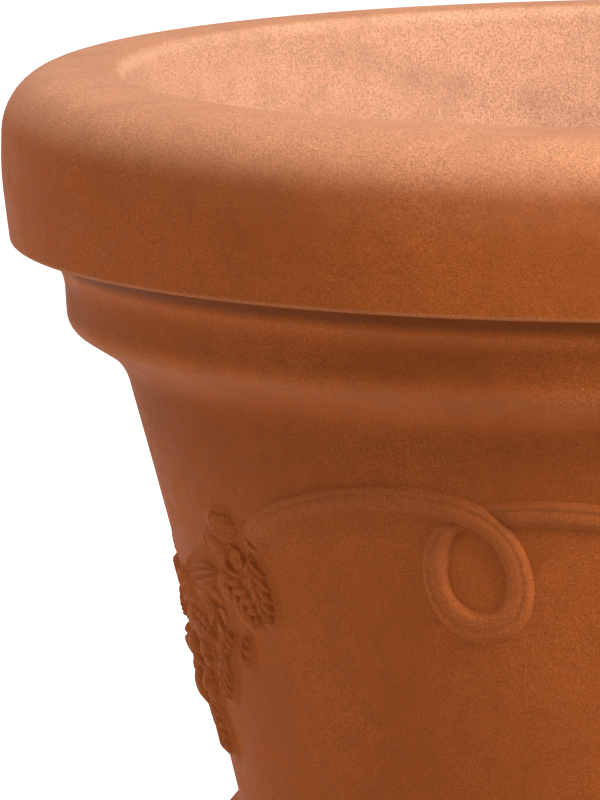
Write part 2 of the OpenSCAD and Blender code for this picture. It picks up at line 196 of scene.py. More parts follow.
# %% [markdown]
# A big moulding is never dead true: it cools unevenly and its faces draw in by a few tenths of a millimetre.
# A few slow waves round and down the pot, always inward, keep highlights from looking machined. Relief is laid
# on the same waves, so that it stays seated.

# %% Slow waves in the skin
draw_in = 0.5


def wave(angle, height):
    """How far the skin is drawn in at an angle in radians and a height in millimetres."""
    s = (np.sin(2 * angle + 0.7) * np.sin(height / 95 + 0.4)
         + 0.7 * np.sin(5 * angle + height / 140 + 2.1)
         + 0.5 * np.sin(9 * angle - height / 60 + 0.9))
    steady = np.clip((height - 60) / 60, 0, 1) * np.clip((pot_h - height) / 12, 0, 1)
    return draw_in * steady * (0.5 + s / 4.4)


round_the_pot = np.linspace(0, 2 * math.pi, 181)
print("drawn in by up to", wave(round_the_pot, pot_h / 2).max())

# %% [markdown]
# ## The skin
# The skin is a closed section carried round the axis: the outer face, the skirt's free edge and the inner
# face. It could be a curve with a screw modifier, but carrying the points round in code lets every ring take
# the slow waves. The first and last points of the section lie on the axis and become the two poles. The same
# helper turns the drill and the plugs later on.

# %% Helpers for pieces
def turned(section, columns, place=(0, 0, 0), waves=None):
    """Points and faces of a closed solid from a section [radius, height] whose two ends lie on the axis."""
    angle = np.arange(columns) * 2 * math.pi / columns
    r = np.repeat(section[1:-1, :1], columns, axis=1)
    z = np.repeat(section[1:-1, 1:], columns, axis=1)
    if waves is not None:
        r = r - waves(angle[None, :] * np.ones_like(r), z)
    grid = np.stack([r * np.sin(angle), -r * np.cos(angle), z], axis=-1).reshape(-1, 3)
    poles = [[0, 0, section[0, 1]], [0, 0, section[-1, 1]]]
    n, m = r.shape
    faces = [(i * m + j, i * m + (j + 1) % m, (i + 1) * m + (j + 1) % m, (i + 1) * m + j)
             for i in range(n - 1) for j in range(m)]
    faces += [(n * m, (j + 1) % m, j) for j in range(m)]
    faces += [(n * m + 1, (n - 1) * m + j, (n - 1) * m + (j + 1) % m) for j in range(m)]
    return np.vstack([grid, poles]) + place, faces


def piece_from(name, verts, faces, body="pot", slot="terracotta_plastic"):
    """A mesh piece in metres from points in millimetres, riding on a body."""
    mesh = bpy.data.meshes.new(name)
    mesh.from_pydata((np.asarray(verts) * MM).tolist(), [], faces)
    mesh.update()
    piece = bpy.data.objects.new(name, mesh)
    bpy.context.scene.collection.objects.link(piece)
    mesh.polygons.foreach_set("use_smooth", [True] * len(mesh.polygons))
    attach(piece, body)
    return piece


def facing_out(mesh):
    """Turns every face of a closed mesh outward."""
    bm = bmesh.new()
    bm.from_mesh(mesh)
    bmesh.ops.recalc_face_normals(bm, faces=bm.faces)
    bm.to_mesh(mesh)
    bm.free()


# %% Turn the skin
turns = 300
skin_section = np.vstack([outer[::-1], inner])
skin = piece_from("skin", *turned(skin_section, turns, waves=wave))
facing_out(skin.data)
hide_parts("pot_rim", "pot_wall", "pot_base")
print("skin", len(skin.data.polygons), "faces")

# %% [markdown]
# ## Drain holes
# Four holes are drilled through the floor after moulding, so they are cut the same way here: one cutter for
# each, with a flared end where the drill's edge is eased, taken from the skin by a boolean modifier that is
# then made permanent.

# %% Shape of the drill
drain_r = 9.0
drain_circle_r = 110.0
plug_count = 4
floor_top = floor_lift + wall
ease = 0.6
flare = 5.0
clear = 0.01
drill_section = np.array([
    (0, floor_lift - flare),
    (drain_r + flare, floor_lift - flare),
    (drain_r + ease, floor_lift - clear),
    (drain_r, floor_lift + ease),
    (drain_r, floor_top - ease),
    (drain_r + ease, floor_top + clear),
    (drain_r + flare, floor_top + flare),
    (0, floor_top + flare),
])


def plug_place(k):
    """Middle of drain hole k on the floor, in millimetres."""
    a = math.radians(45 + 360 * k / plug_count)
    return np.array([drain_circle_r * math.cos(a), drain_circle_r * math.sin(a), 0])


print("holes at", [plug_place(k).round(1).tolist() for k in range(plug_count)])

# %% Drill the floor
drill_turns = 64
points, faces = [], []
for k in range(plug_count):
    p, f = turned(drill_section, drill_turns, plug_place(k))
    faces += [tuple(i + k * len(p) for i in face) for face in f]
    points.append(p)
drill_mesh = bpy.data.meshes.new("drill")
drill_mesh.from_pydata((np.vstack(points) * MM).tolist(), [], faces)
facing_out(drill_mesh)
drill = bpy.data.objects.new("drill", drill_mesh)
bpy.context.scene.collection.objects.link(drill)
drilled = skin.modifiers.new("drilled", "BOOLEAN")
drilled.operation = "DIFFERENCE"
drilled.solver = "MANIFOLD"
drilled.object = drill
bpy.context.view_layer.update()
finished = bpy.data.meshes.new_from_object(skin.evaluated_get(bpy.context.evaluated_depsgraph_get()))
skin.modifiers.clear()
skin.data = finished
bpy.data.objects.remove(drill)
print("skin after drilling", len(skin.data.polygons), "faces")

# %% Shade the floor flat
for face in skin.data.polygons:
    level = abs(face.normal.z) > 0.999 and face.center.z < (floor_top + 1) * MM
    face.use_smooth = not level
print("level faces", sum(not face.use_smooth for face in skin.data.polygons))

# %% [markdown]
# ## Relief
# On the clay pots that this one copies, ribbons and fruit are pressed in little moulds and stuck to the wall.
# Here they come up with the skin. Each is worked out as a height over the wall on a fine flat grid, as a
# carver works a panel: first the large round forms, then the veins and seeds. The grid is then wrapped round
# the pot. Where the height falls under the wall's face the grid is left out, and the rim of what is left
# dips just under the face, so the relief seems to grow out of the wall.

# %% Heights that run out into the wall
relief_r = 230.0
root_soft = 0.28
root_sink = 0.12


def soft_root(h):
    """Raw height in millimetres, below 0 outside a form, to a face that runs out into the wall."""
    return root_soft * np.logaddexp(0, h / root_soft) - root_sink


def soft_union(a, b, k):
    """The higher of two heights, with a small fillet where they meet."""
    t = np.clip(0.5 + 0.5 * (a - b) / k, 0, 1)
    return b + (a - b) * t + k * t * (1 - t)


def wrapped(u, depth, height, turn):
    """Places over the wall: u millimetres to the right, depth below the rim, height above the face."""
    a = u / relief_r + turn
    z = pot_h - depth
    r = wall_r(depth) + height - wave(a, z)
    return np.stack([r * np.sin(a), -r * np.cos(a), z], axis=-1)


print("a height of 1 mm stands", soft_root(1.0), "above the wall")

# %% [markdown]
# A piece of relief is made solid, because a printer or a mould maker needs closed forms: the grid cells that
# carry it are doubled by a hidden back inside the wall, and a narrow rim joins the two. The back is then
# dissolved to few faces.

# %% Close the grid cells to a solid
def numbered(cell):
    """Which grid points the kept cells use, and a running number for each of them."""
    rows, columns = cell.shape
    used = np.zeros((rows + 1, columns + 1), bool)
    for i in (0, 1):
        for j in (0, 1):
            used[i:i + rows, j:j + columns] |= cell
    return used, np.cumsum(used.ravel()).reshape(used.shape) - 1


def closed_faces(cell, index, n):
    """Faces of the front, of the back, whose points come n later, and of the rim between them."""
    a, b = index[:-1, :-1][cell], index[1:, :-1][cell]
    c, e = index[1:, 1:][cell], index[:-1, 1:][cell]
    quads = np.stack([a, e, c, b], axis=-1)
    faces = quads.tolist() + (quads[:, ::-1] + n).tolist()
    rows, columns = cell.shape
    pad = np.pad(cell, 1)
    for (i, j), (p, q) in (((-1, 0), (a, e)), ((1, 0), (c, b)), ((0, -1), (b, a)), ((0, 1), (e, c))):
        alone = ~pad[1 + i:1 + i + rows, 1 + j:1 + j + columns][cell]
        faces += np.stack([q[alone], p[alone], p[alone] + n, q[alone] + n], axis=-1).tolist()
    return faces


# %% Lay a piece of relief on the wall
back_depth = 1.6
least_h = 0.03
back_bend = math.radians(4)


def thin_back(mesh, n):
    """Dissolves the hidden back, whose points come after the first n, to few faces."""
    bm = bmesh.new()
    bm.from_mesh(mesh)
    bm.verts.ensure_lookup_table()
    back = [v for v in bm.verts[n:] if all(w.index >= n for e in v.link_edges for w in e.verts)]
    chosen = set(back)
    # The edges keep the mesh's own order, because the order of a set would change from run to run
    edges = [e for e in bm.edges if e.verts[0] in chosen or e.verts[1] in chosen]
    bmesh.ops.dissolve_limit(bm, angle_limit=back_bend, verts=back, edges=edges)
    bmesh.ops.triangulate(bm, faces=[f for f in bm.faces if len(f.verts) > 4])
    bmesh.ops.recalc_face_normals(bm, faces=bm.faces)
    bm.to_mesh(mesh)
    bm.free()


def relief(name, node, u, d, height, turn):
    """A closed piece of relief from heights over the grid u by d, which replaces a CAD node."""
    keep = height > least_h - root_sink
    cell = keep[:-1, :-1] | keep[1:, :-1] | keep[:-1, 1:] | keep[1:, 1:]
    used, index = numbered(cell)
    n = int(used.sum())
    uu, dd = np.meshgrid(u, d, indexing="ij")
    front = wrapped(uu[used], dd[used], height[used], turn)
    back = wrapped(uu[used], dd[used], np.full(n, -back_depth), turn)
    piece = piece_from(name, np.vstack([front, back]), closed_faces(cell, index, n))
    thin_back(piece.data, n)
    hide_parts(node)
    print(name, len(piece.data.polygons), "faces")
    return piece


# %% [markdown]
# ## Ribbons
# A ribbon is a soft band with a groove along its middle. It leaves the left tie in a high arch, runs once round
# a loop, passes under itself and goes on to the right tie in a flatter arch. The loop is a little egg-shaped,
# as a hanging loop is. Its path could be drawn as a curve object, but here the distance to it is wanted over
# the whole grid, so it is kept as a plain row of points.

# %% Ribbon sizes
repeats = 3
ribbon_w = 11.5
ribbon_end_w = 15.0
ribbon_end_l = 46.0
ribbon_h = 3.2
ribbon_groove = 0.7
loop_w, loop_h = 39.0, 49.0
loop_down = 193.8
loop_egg = 0.12
loop_wide = 2.5
loop_start = 30.0
tie_u = math.radians(30.3) * relief_r
tie_down = 189.5
tie_slope = math.radians(34)
tie_way = np.array([math.cos(tie_slope), math.sin(tie_slope)])
print("from loop to tie", tie_u, "mm along the wall")


# %% Ribbon path
def bezier(points, count):
    t = np.linspace(0, 1, count)[:, None]
    a, b, c, d = (np.array(p, float) for p in points)
    return (1 - t) ** 3 * a + 3 * (1 - t) ** 2 * t * b + 3 * (1 - t) * t * t * c + t ** 3 * d


def loop_point(degrees):
    """Places [right, depth] on the loop, counted from its top."""
    a = np.radians(degrees)
    u = loop_w / 2 * np.sin(a) * (1 - loop_egg * np.cos(a))
    return np.stack([u, loop_down - loop_h / 2 * np.cos(a)], axis=-1)


def loop_way(degrees):
    """Direction in which the loop runs there."""
    a = math.radians(degrees)
    v = np.array([loop_w / 2 * (math.cos(a) - loop_egg * math.cos(2 * a)), loop_h / 2 * math.sin(a)])
    return v / np.linalg.norm(v)


end_gap = 1.6
beside_cord = end_gap * np.array([-tie_way[1], tie_way[0]])
tie_left = np.array([-tie_u, tie_down]) - beside_cord
tie_right = tie_left * [-1, 1]
start, leave = loop_point(loop_start), loop_point(-loop_start)
high_arch = bezier([tie_left, tie_left + [38, -26], start - 29 * loop_way(loop_start), start], 120)
flat_arch = bezier([leave, leave + [21.5, -10], tie_right + [-42, -27], tie_right], 120)
last_of_loop = loop_point(np.linspace(170, 360 - loop_start, 70))
first_path = np.vstack([high_arch, loop_point(np.linspace(loop_start, 190, 70))[1:]])
second_path = np.vstack([last_of_loop, flat_arch[1:]])
crossing_s = np.linalg.norm(np.diff(last_of_loop, axis=0), axis=1).sum()
print("the strands cross", crossing_s, "mm along the second one")


# %% Distance to a path
def along(path, u, d):
    """How far each grid point lies to the right of a path, how far along it that is, and the path's length."""
    at = np.concatenate([[0], np.cumsum(np.linalg.norm(np.diff(path, axis=0), axis=1))])
    best = np.full(u.shape, 1e9)
    where = np.zeros(u.shape)
    for i in range(len(path) - 1):
        v = path[i + 1] - path[i]
        t = np.clip(((u - path[i][0]) * v[0] + (d - path[i][1]) * v[1]) / (v @ v), 0, 1)
        du, dd = u - path[i][0] - t * v[0], d - path[i][1] - t * v[1]
        gap = np.hypot(du, dd)
        near = gap < np.abs(best)
        best[near] = (gap * np.where(v[0] * dd - v[1] * du < 0, -1, 1))[near]
        where[near] = (at[i] + t * (at[i + 1] - at[i]))[near]
    return best, where, at[-1]


ribbon_grid = 0.6
ru = np.arange(-136, 136.01, ribbon_grid)
rd = np.arange(152, 230.01, ribbon_grid)
U, D = np.meshgrid(ru, rd, indexing="ij")
first_gap, first_s, first_length = along(first_path, U, D)
second_gap, second_s, second_length = along(second_path, U, D)
print("strands of", round(first_length), "and", round(second_length), "mm over", U.size, "grid points")

# %% [markdown]
# Across the band a narrow ridge runs along its outer side and a broader one along its inner side, with a groove
# between them, which is worn away where the strands cross. Outside the band the raw height goes on falling below
# the wall, for the blending to work with. The band is wider towards its ties and at the bottom of the loop.

# %% Height of the two strands
loop_reach = 34.0
narrow_s, narrow_least, narrow_run = crossing_s + 8, 0.6, 70.0
worn = np.exp(-((U - 12) / 16) ** 2 - ((D - 190) / 20) ** 2)


def half_width(from_end):
    """Half the ribbon's width at a distance from its tied end, and what the bottom of the loop adds to it."""
    low_in_loop = np.clip((D - loop_down) / (loop_h / 2), 0, 1) * (np.abs(U) < loop_reach)
    widening = (ribbon_end_w - ribbon_w) / 2 * np.clip(1 - from_end / ribbon_end_l, 0, 1)
    return ribbon_w / 2 + widening, loop_wide / 2 * low_in_loop


def band(gap, half):
    """Height of a strand over its distance from the path, falling away below the wall beside it."""
    x = gap / half
    e = np.clip(np.abs(x), 0, 1)
    crown = ribbon_h * np.cos(np.pi / 2 * e ** 2.4) * np.where(x < -0.2, 0.86, 1)
    groove = ribbon_groove * (1 - 0.85 * worn) * np.exp(-((x + 0.24) / 0.22) ** 2)
    return np.where(np.abs(x) < 1, crown - groove, -(np.abs(gap) - half) * 1.6)


plain, extra = half_width(first_s)
first_half = plain + extra
plain, extra = half_width(second_length - second_s)
second_half = plain * np.clip(narrow_least + np.abs(second_s - narrow_s) / narrow_run, narrow_least, 1) + extra
first, second = band(first_gap, first_half), band(second_gap, second_half)
print("strands up to", first.max(), "and", second.max(), "mm high")

# %% [markdown]
# Where the ribbon crosses itself the upper strand climbs over the lower one, which thins out under it.

# %% Cross the strands
under_s, under_reach, under_least, under_run = crossing_s + 6, 30.0, 0.2, 6.0
climb_h, climb_w, climb_s, climb_l = 0.8, 7.0, crossing_s + 4, 12.0
beside_first = np.clip(under_least + (np.abs(first_gap) - first_half) / under_run, under_least, 1)
tuck = np.where(np.abs(second_s - under_s) < under_reach, beside_first, 1)
second = np.where(second > 0, second * tuck, second)
climb = climb_h * np.exp(-(second_gap / climb_w) ** 2) * np.exp(-((second_s - climb_s) / climb_l) ** 2)
first = np.where(first > 0, first + climb, first)
strand = np.maximum(first, second)
print("crossing up to", strand.max(), "mm high")

# %% [markdown]
# Two turns of thin cord hold each end of the ribbon down, and nothing of it passes them. The cords bow a little
# round the gathered end, and so does the end itself.

# %% Tie the ends
cord_d, cord_pitch, cord_bow = 3.0, 3.8, 3.0
cord_halves = (8.0, 6.5)
cord_overlap = 1.2
off_wall = -3.0


def tie_height(beside, past):
    """Height of the cords, from the distance along them and the distance past the ribbon's end."""
    h = np.full(past.shape, -9.0)
    for i, half_length in enumerate(cord_halves):
        t = np.clip(beside / half_length, -1, 1)
        line = cord_pitch * i + cord_bow * (1 - t * t)
        gap = np.hypot((past - line) / np.hypot(1, 2 * cord_bow * t / half_length), beside - t * half_length)
        r = cord_d / 2 * (1 - 0.25 * t ** 4)
        round_top = (1.2 + 1.3 * np.cos(np.pi / 2 * np.clip(gap / r, 0, 1) ** 1.6)) * (1 - 0.6 * t ** 6)
        h = np.maximum(h, np.where(gap < r, round_top, -(gap - r) * 1.5))
    return h


past = (np.abs(U) - tie_u) * tie_way[1] + (D - tie_down) * tie_way[0]
beside = (tie_u - np.abs(U)) * tie_way[0] + (D - tie_down) * tie_way[1]
end_line = cord_bow * (1 - np.clip(beside / cord_halves[0], -1, 1) ** 2) - cord_overlap
strand = np.where(past > end_line, off_wall, strand)
ribbon_height = soft_root(soft_union(strand, tie_height(beside, past), 0.2))
print("ribbon height from", ribbon_height.min(), "to", ribbon_height.max())

# %% Lay the ribbons on the wall
ribbons = []
for k in range(repeats):
    turn = 2 * math.pi * k / repeats
    ribbons.append(relief(f"ribbon_relief_{k + 1}", f"ribbon_{k + 1}", ru, rd, ribbon_height, turn))

# %% [markdown]
# ## Garlands
# Between the ties hangs a swag of leaves, fruit, flowers and seed heads. One half is listed piece by piece, as
# a carver would lay it out, and the other half is its mirror image. Each kind of piece has its own height over
# its own ellipse: x runs along it from -1 to 1, and y runs across it. Every kind stands about 1 high, and -1
# says that a place is outside it. Leaves come first: veins cut between rounded lobes, or long ribs as on a husk.

# %% Leaves and husks
vein_pitch, vein_lean, vein_deep = 6.0, 0.8, 0.32
fold_deep, fold_w = 0.28, 0.9
husk_ribs = 5


def leaf(x, y, length, width):
    """Pointed blade with a folded middle and a rounded lobe between each two veins."""
    lobe = 0.5 + 0.5 * np.cos(2 * np.pi * (x * length - np.abs(y) * width * vein_lean) / vein_pitch)
    w = np.clip(1 - np.abs(x) ** 2.4, 0, 1) ** 0.7 * (0.8 + 0.2 * lobe) + 1e-6
    e = np.abs(y) / w
    blade = 0.85 * np.clip(1 - np.clip(e, 0, 1) ** 3, 0, 1) ** 0.6
    fold = fold_deep * np.exp(-(y * width / fold_w) ** 2)
    veins = vein_deep * (1 - lobe) ** 3 * np.clip(1.1 - e, 0, 1) ** 0.3
    return np.where(e < 1, blade - fold - veins + 0.1, -1)


def ribbed(x, y, length, width):
    """Blade of long ribs that run together at its tips, like an ear or a husk."""
    w = np.clip(1 - x * x, 0, 1) ** 0.6 + 1e-6
    e = y / w
    ribs = 0.5 + 0.5 * np.cos(np.pi * husk_ribs * e + 0.6 * np.sin(3 * x))
    blade = np.clip(1 - np.abs(e) ** 4, 0, 1) ** 0.5 * (0.52 + 0.48 * ribs ** 0.7)
    return np.where(np.abs(e) < 1, blade, -1)


# %% [markdown]
# A fruit is a plain dome until it gets its navel and the shallow seam down one side. A seed head is the same
# dome, a little lower, with rows of beads set like bricks.

# %% Fruit and seed heads
navel_deep, navel_x = 0.34, 0.62
seam_deep, seam_w = 0.22, 0.9
seed_row, seed_step, seed_h = 2.6, 3.0, 0.24


def fruit(x, y, length, width):
    """Round fruit with a small navel near its lower end and a shallow seam."""
    q = x * x + y * y
    navel = navel_deep * np.exp(-(((x - navel_x) * length) ** 2 + (y * width) ** 2) / 1.6)
    seam = seam_deep * np.exp(-((y - 0.3 * (1 - x * x)) * width / seam_w) ** 2)
    return np.where(q < 1, np.clip(1 - q, 0, 1) ** 0.5 - navel - seam, -1)


def seeds(x, y, length, width):
    """Dome set with rows of little seeds."""
    q = x * x + y * y
    row = y * width / seed_row
    bead = x * length / seed_step + 0.5 * np.floor(row)
    bump = np.abs(np.sin(np.pi * row)) * np.abs(np.sin(np.pi * bead))
    dome = np.clip(1 - q, 0, 1) ** 0.5 * 0.8 + seed_h * bump ** 0.7 * (q < 0.82) - 0.04
    return np.where(q < 1, dome, -1)


# %% [markdown]
# In a flower each petal rises on one side and dives under its neighbour on the other, which is what makes it
# read as a flower from any side. The bell is an open cup seen from its mouth.

# %% Flowers and bells
petals_round, petal_dive = 6, 0.28
eye_r = 0.36
cup_rim, cup_rim_w = 0.78, 0.2


def flower(x, y, length, width):
    """Broad petals that overlap round a seeded eye, their edges turned up."""
    rho = np.hypot(x, y)
    theta = np.arctan2(y, x)
    turn = (theta / (2 * np.pi) * petals_round) % 1
    e = rho / (0.86 + 0.14 * np.sin(np.pi * turn) ** 0.7)
    cup = 0.42 + 0.4 * np.clip(e, 0, 1) ** 1.6 - petal_dive * turn * np.clip(rho * 1.6, 0, 1)
    petals = np.clip(1 - e ** 9, 0, 1) ** 0.5 * cup
    r = rho / eye_r
    dots = 0.16 * np.clip(np.cos(theta * 7 + 1) * np.cos(r * 6), 0, 1)
    eye = 0.5 + 0.36 * np.clip(1 - r * r, 0, 1) ** 0.5 + dots
    return np.where(e < 1, np.where(r < 1, eye, petals), -1)


def bell(x, y, length, width):
    """Open cup with a rolled rim and a few seeds in it."""
    rho = np.hypot(x, y)
    rim = np.exp(-((rho - cup_rim) / cup_rim_w) ** 2) * (0.86 + 0.14 * np.cos(5 * np.arctan2(y, x)))
    heart = 0.1 + 0.3 * np.exp(-(((x - 0.2) ** 2 + (y + 0.1) ** 2) / 0.05))
    edge = np.clip((1 - rho) * 6, 0, 1) ** 0.5
    return np.where(rho < 1, np.clip(np.maximum(rim, heart) * edge, 0, 1), -1)


# %% [markdown]
# The list gives each piece's middle to the right of the swag's middle, its depth below the rim, half its length
# and half its width, the angle of its length below the level, and how far it stands out from the wall.

# %% Layout of a garland
right_layout = [
    (seeds, 95, 187.5, 14.0, 6.8, 0, 3.8),
    (fruit, 83, 199, 13.0, 5.6, 8, 3.0),
    (bell, 99.5, 203, 10.5, 8.5, 0, 4.0),
    (leaf, 115, 214, 16.0, 9.0, 82, 4.4),
    (leaf, 98, 222, 14.5, 10.0, 38, 4.0),
    (fruit, 84, 217, 9.5, 8.5, 0, 3.6),
    (ribbed, 57, 214.5, 22.0, 9.5, -9, 3.0),
    (flower, 62, 230, 17.0, 12.5, -10, 4.8),
    (leaf, 70, 244.5, 11.0, 5.0, -33, 4.0),
    (leaf, 88, 246, 9.0, 6.0, -55, 3.2),
    (leaf, 43, 240, 14.0, 7.0, 15, 4.4),
    (leaf, 57, 261, 14.0, 9.0, 128, 4.4),
    (leaf, 13, 227, 15.0, 7.0, -12, 3.4),
    (fruit, 25, 240, 13.0, 9.0, -15, 5.2),
    (fruit, 12, 256, 12.0, 9.5, 15, 7.0),
    (fruit, 33, 255, 9.5, 8.0, 0, 5.2),
    (fruit, 27, 270, 12.0, 8.5, -25, 6.8),
    (leaf, 25, 288, 15.0, 8.5, 52, 4.6),
]
middle_layout = [
    (flower, 0, 240, 13.0, 12.0, 90, 5.6),
    (fruit, 0, 274, 11.0, 9.5, 90, 7.6),
    (leaf, 0, 290, 13.0, 8.0, 90, 3.6),
]
left_layout = [(kind, -u, d, length, width, 180 - slope, tall)
               for kind, u, d, length, width, slope, tall in right_layout]
layout = middle_layout + right_layout + left_layout
print("pieces in a garland", len(layout))


# %% Place a piece on the grid
def own_place(u0, d0, length, width, slope, u, d):
    """Grid places seen from a piece, x along it and y across it, both 1 at its edge."""
    a = math.radians(slope)
    du, dd = u - u0, d - d0
    return (du * math.cos(a) + dd * math.sin(a)) / length, (dd * math.cos(a) - du * math.sin(a)) / width


def laid(kind, u0, d0, length, width, slope, tall, u, d):
    """Height of one piece over the grid, falling away below the wall outside it."""
    x, y = own_place(u0, d0, length, width, slope, u, d)
    raw = kind(x, y, length, width)
    outside = (np.hypot(x, y) - 1) * min(length, width)
    return np.where(raw > 0, raw * tall, -np.clip(outside * 2, 0.2, 6))


garland_grid = 0.6
gu = np.arange(-134, 134.01, garland_grid)
gd = np.arange(174, 306.01, garland_grid)
U, D = np.meshgrid(gu, gd, indexing="ij")
heights = [laid(*entry, U, D) for entry in layout]
print("tallest piece", max(h.max() for h in heights), "mm")

# %% [markdown]
# Between the pieces lies a soft bed that carries them. It follows the outline of the whole swag a little way
# in, so that every piece at the edge runs out over it to the wall, and it swells towards the middle. A carver
# cuts a sharp crease wherever two pieces meet, and so a crease goes in wherever the two highest pieces are
# about equally high.

# %% Garland height
bed_h, bed_swell, swell_w = 1.5, 1.9, 42.0
bed_reach, bed_slope = 1.3, 0.35
crease_deep, crease_soft, crease_fade = 0.8, 0.7, 1.2
nearest = np.min([np.hypot(*own_place(*entry[1:6], U, D)) for entry in layout], axis=0)
bed = (bed_h + bed_swell * np.exp(-(U / swell_w) ** 2)) * np.clip((bed_reach - nearest) / bed_slope, -5, 1)
second_top, top = np.sort([bed] + heights, axis=0)[-2:]
crease = crease_deep * np.exp(-((top - second_top) / crease_soft) ** 2) * np.clip(second_top / crease_fade, 0, 1)
garland_height = soft_root(soft_union(top, second_top, 0.2) - crease)
print("garland height from", garland_height.min(), "to", garland_height.max())

# %% Lay the garlands on the wall
garlands = []
for k in range(repeats):
    turn = 2 * math.pi * (k - 0.5) / repeats
    garlands.append(relief(f"garland_relief_{k + 1}", f"garland_{k + 1}", gu, gd, garland_height, turn))

# %% [markdown]
# ## Plugs
# The pot is sold with its drain holes stopped by soft rubber plugs. A plug is pushed in from inside until its
# flange rests on the floor, and the knob is there to pull it out by. Soft rubber has no sharp edges, so the
# section carries a small rounding at every corner.

# %% Turn the plugs
plug_turns = 96
plug_section = np.array([
    (0, 5.5), (6.4, 5.5), (7.0, 5.7), (7.5, 6.6), (8.55, 9.0), (8.7, 9.6), (8.7, 14.0), (8.75, 14.9), (9.2, 15.0),
    (14.4, 15.0), (14.85, 15.2), (15.0, 15.6), (15.0, 17.0), (14.7, 17.7), (14.0, 18.1), (9.0, 18.8), (5.2, 19.0),
    (4.3, 19.4), (4.0, 20.2), (4.0, 21.6), (4.3, 22.4), (5.3, 22.7), (6.6, 22.8), (7.0, 23.3), (7.0, 25.4),
    (6.6, 26.1), (5.8, 26.45), (3.0, 26.5), (0, 26.5),
])
plugs = []
for k in range(plug_count):
    verts, faces = turned(plug_section, plug_turns, plug_place(k))
    plug = piece_from(f"plug_{k + 1}_rubber", verts, faces, f"plug_{k + 1}", "plug_rubber")
    facing_out(plug.data)
    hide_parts(f"drain_plug_{k + 1}")
    plugs.append(plug)
print("plugs", len(plugs), "with", len(plug.data.polygons), "faces each")

# %% [markdown]
# ## Surfaces
# A finish is built from small nodes: noises, smooth steps and sums. The helpers below only save typing. Each
# makes one node in the tree that its inputs come from, and hands back its output, so that a finish can be
# written as a formula.

# %% Helpers for materials
def new_material(name):
    """A material, its tree, and the shader that its surface comes from."""
    m = bpy.data.materials.new(name)
    m.use_nodes = True
    tree = m.node_tree
    tree.nodes.clear()
    out = tree.nodes.new("ShaderNodeOutputMaterial")
    shader = tree.nodes.new("ShaderNodeBsdfPrincipled")
    tree.links.new(shader.outputs["BSDF"], out.inputs["Surface"])
    return m, tree, shader


def feed(socket, value):
    """Links an output to an input, or sets the input to a plain value."""
    if isinstance(value, bpy.types.NodeSocket):
        socket.id_data.links.new(value, socket)
    else:
        socket.default_value = value


def node_for(kind, *values):
    """A new node in the tree that the first output among some values belongs to."""
    source = next(v for v in values if isinstance(v, bpy.types.NodeSocket))
    return source.id_data.nodes.new(kind)


def from_srgb(red, green, blue):
    """Linear colour from the 0 to 255 values that a colour is usually written in."""
    c = np.array([red, green, blue]) / 255
    linear = np.where(c <= 0.04045, c / 12.92, ((c + 0.055) / 1.055) ** 2.4)
    return (*linear.tolist(), 1.0)


# %% Helpers for numbers
def calc(operation, a, b=0.0):
    n = node_for("ShaderNodeMath", a, b)
    n.operation = operation
    feed(n.inputs[0], a)
    feed(n.inputs[1], b)
    return n.outputs[0]


def plus(a, b):
    return calc("ADD", a, b)


def minus(a, b):
    return calc("SUBTRACT", a, b)


def times(a, b):
    return calc("MULTIPLY", a, b)


def vector_calc(operation, a, b=None, result="Value"):
    n = node_for("ShaderNodeVectorMath", a)
    n.operation = operation
    feed(n.inputs[0], a)
    if b is not None:
        feed(n.inputs[1], b)
    return n.outputs[result]


def upright_part(vector):
    """The z of a vector."""
    n = node_for("ShaderNodeSeparateXYZ", vector)
    feed(n.inputs[0], vector)
    return n.outputs["Z"]


# %% Helpers for patterns
def noise(place, scale, detail=2.0, roughness=0.5):
    n = node_for("ShaderNodeTexNoise", place)
    feed(n.inputs["Vector"], place)
    feed(n.inputs["Scale"], scale)
    feed(n.inputs["Detail"], detail)
    feed(n.inputs["Roughness"], roughness)
    return n.outputs["Fac"]


def ramp(value, low, high, to_low=0.0, to_high=1.0):
    """Smooth step of a value from one span to another."""
    n = node_for("ShaderNodeMapRange", value)
    n.interpolation_type = "SMOOTHSTEP"
    feed(n.inputs["Value"], value)
    feed(n.inputs["From Min"], low)
    feed(n.inputs["From Max"], high)
    feed(n.inputs["To Min"], to_low)
    feed(n.inputs["To Max"], to_high)
    return n.outputs["Result"]


def mixed(share, a, b, blend="MIX"):
    """Colour a with a share of colour b."""
    n = node_for("ShaderNodeMix", share, a, b)
    n.data_type = "RGBA"
    n.blend_type = blend
    feed(n.inputs["Factor"], share)
    feed(n.inputs[6], a)
    feed(n.inputs[7], b)
    return n.outputs[2]


def bumped(shader, height, strength, distance):
    """Lets a height stand out of a shader's surface by up to a distance in metres."""
    n = node_for("ShaderNodeBump", height)
    feed(n.inputs["Strength"], strength)
    feed(n.inputs["Distance"], distance)
    feed(n.inputs["Height"], height)
    feed(shader.inputs["Normal"], n.outputs["Normal"])
